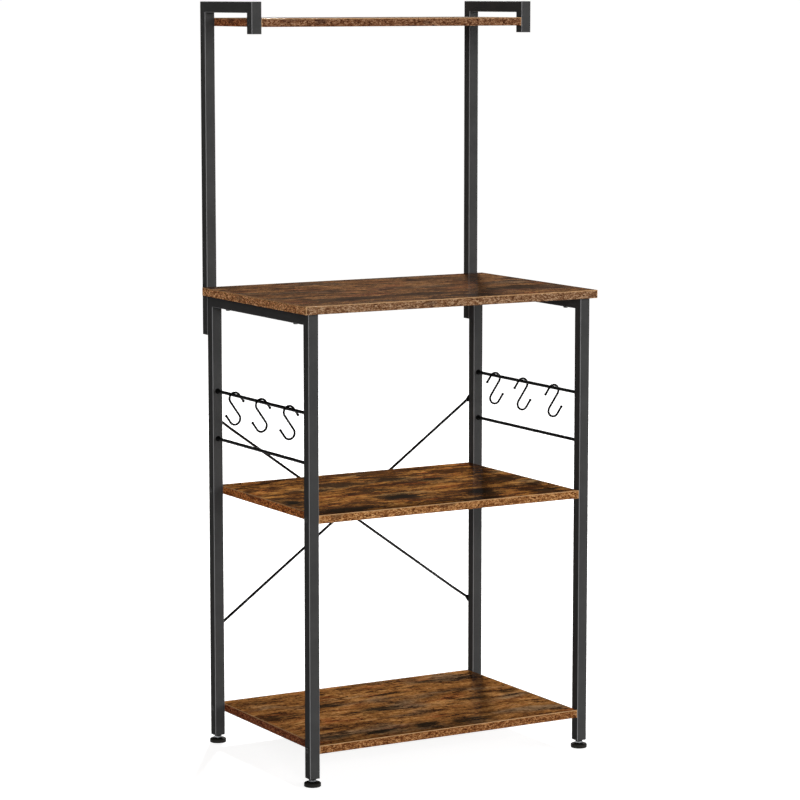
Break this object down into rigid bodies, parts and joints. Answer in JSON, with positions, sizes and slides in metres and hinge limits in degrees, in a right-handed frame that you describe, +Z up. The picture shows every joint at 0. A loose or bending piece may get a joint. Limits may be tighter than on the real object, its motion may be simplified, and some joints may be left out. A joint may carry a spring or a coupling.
{
  "type": "bakers rack",
  "caption": "Free-standing tube-frame bakers rack with wood-look counter and shelves, a raised top shelf, crossed back braces, side rods with swinging S-hooks, and levelling feet.",
  "frame": {"origin": "on the floor, in the middle of the footprint, level with the undersides of the feet", "axes": "+X to the right seen from the front, +Y to the back, +Z up"},
  "size_m": [0.6, 0.4226, 1.368],
  "materials": {
    "black_powder_coat": "matte powder coat",
    "hook_coat": "satin black coat",
    "black_fasteners": "black oxide",
    "rustic_board": "semi-gloss rustic wood-grain laminate",
    "zinc_steel": "zinc plated",
    "pad_plastic": "moulded black",
    "plug_plastic": "moulded black"
  },
  "bodies": {
    "rack": {"bottom_shelf": "rustic_board", "bottom_shelf_bolts": "black_fasteners", "bottom_shelf_inserts": "zinc_steel", "brace_bolts": "black_fasteners", "brace_rivet_nuts": "zinc_steel", "counter_board": "rustic_board", "counter_screws": "black_fasteners", "front_brace": "black_powder_coat", "hutch_bolts": "black_fasteners", "hutch_rivet_nuts": "zinc_steel", "left_arm": "black_powder_coat", "left_drop": "black_powder_coat", "left_drop_plug": "plug_plastic", "left_front_leg": "black_powder_coat", "left_front_leg_plug": "plug_plastic", "left_lower_hook_rod": "black_powder_coat", "left_rear_leg": "black_powder_coat", "left_rear_leg_plug": "plug_plastic", "left_top_rail": "black_powder_coat", "left_upper_hook_rod": "black_powder_coat", "left_upright": "black_powder_coat", "left_upright_plug": "plug_plastic", "middle_shelf": "rustic_board", "middle_shelf_bolts": "black_fasteners", "middle_shelf_inserts": "zinc_steel", "rear_brace": "black_powder_coat", "right_arm": "black_powder_coat", "right_drop": "black_powder_coat", "right_drop_plug": "plug_plastic", "right_front_leg": "black_powder_coat", "right_front_leg_plug": "plug_plastic", "right_lower_hook_rod": "black_powder_coat", "right_rear_leg": "black_powder_coat", "right_rear_leg_plug": "plug_plastic", "right_top_rail": "black_powder_coat", "right_upper_hook_rod": "black_powder_coat", "right_upright": "black_powder_coat", "right_upright_plug": "plug_plastic", "top_shelf": "rustic_board", "top_shelf_bolts": "black_fasteners", "top_shelf_inserts": "zinc_steel"},
    "left_front_foot": {"left_front_foot_pad": "pad_plastic", "left_front_foot_stud": "zinc_steel"},
    "left_rear_foot": {"left_rear_foot_pad": "pad_plastic", "left_rear_foot_stud": "zinc_steel"},
    "right_front_foot": {"right_front_foot_pad": "pad_plastic", "right_front_foot_stud": "zinc_steel"},
    "right_rear_foot": {"right_rear_foot_pad": "pad_plastic", "right_rear_foot_stud": "zinc_steel"},
    "left_front_s_hook": {"left_hook_front": "hook_coat"},
    "left_middle_s_hook": {"left_hook_middle": "hook_coat"},
    "left_rear_s_hook": {"left_hook_rear": "hook_coat"},
    "right_front_s_hook": {"right_hook_front": "hook_coat"},
    "right_middle_s_hook": {"right_hook_middle": "hook_coat"},
    "right_rear_s_hook": {"right_hook_rear": "hook_coat"}
  },
  "joints": [
    {"name": "left_front_hook_swing", "type": "hinge", "parent": "rack", "child": "left_front_s_hook", "pos_m": [-0.28, -0.11025, 0.66], "axis": [0, 1, 0], "range_deg": [-60, 60]},
    {"name": "left_middle_hook_swing", "type": "hinge", "parent": "rack", "child": "left_middle_s_hook", "pos_m": [-0.28, -0.00425, 0.66], "axis": [0, 1, 0], "range_deg": [-60, 60]},
    {"name": "left_rear_hook_swing", "type": "hinge", "parent": "rack", "child": "left_rear_s_hook", "pos_m": [-0.28, 0.09975, 0.66], "axis": [0, 1, 0], "range_deg": [-60, 60]},
    {"name": "right_front_hook_swing", "type": "hinge", "parent": "rack", "child": "right_front_s_hook", "pos_m": [0.28, -0.09725, 0.66], "axis": [0, 1, 0], "range_deg": [-60, 60]},
    {"name": "right_middle_hook_swing", "type": "hinge", "parent": "rack", "child": "right_middle_s_hook", "pos_m": [0.28, 0.00975, 0.66], "axis": [0, 1, 0], "range_deg": [-60, 60]},
    {"name": "right_rear_hook_swing", "type": "hinge", "parent": "rack", "child": "right_rear_s_hook", "pos_m": [0.28, 0.10775, 0.66], "axis": [0, 1, 0], "range_deg": [-60, 60]},
    {"name": "left_front_foot_height", "type": "slide", "parent": "rack", "child": "left_front_foot", "axis": [0, 0, 1], "range_m": [-0.01, 0.0015]},
    {"name": "left_rear_foot_height", "type": "slide", "parent": "rack", "child": "left_rear_foot", "axis": [0, 0, 1], "range_m": [-0.01, 0.0015]},
    {"name": "right_front_foot_height", "type": "slide", "parent": "rack", "child": "right_front_foot", "axis": [0, 0, 1], "range_m": [-0.01, 0.0015]},
    {"name": "right_rear_foot_height", "type": "slide", "parent": "rack", "child": "right_rear_foot", "axis": [0, 0, 1], "range_m": [-0.01, 0.0015]}
  ]
}
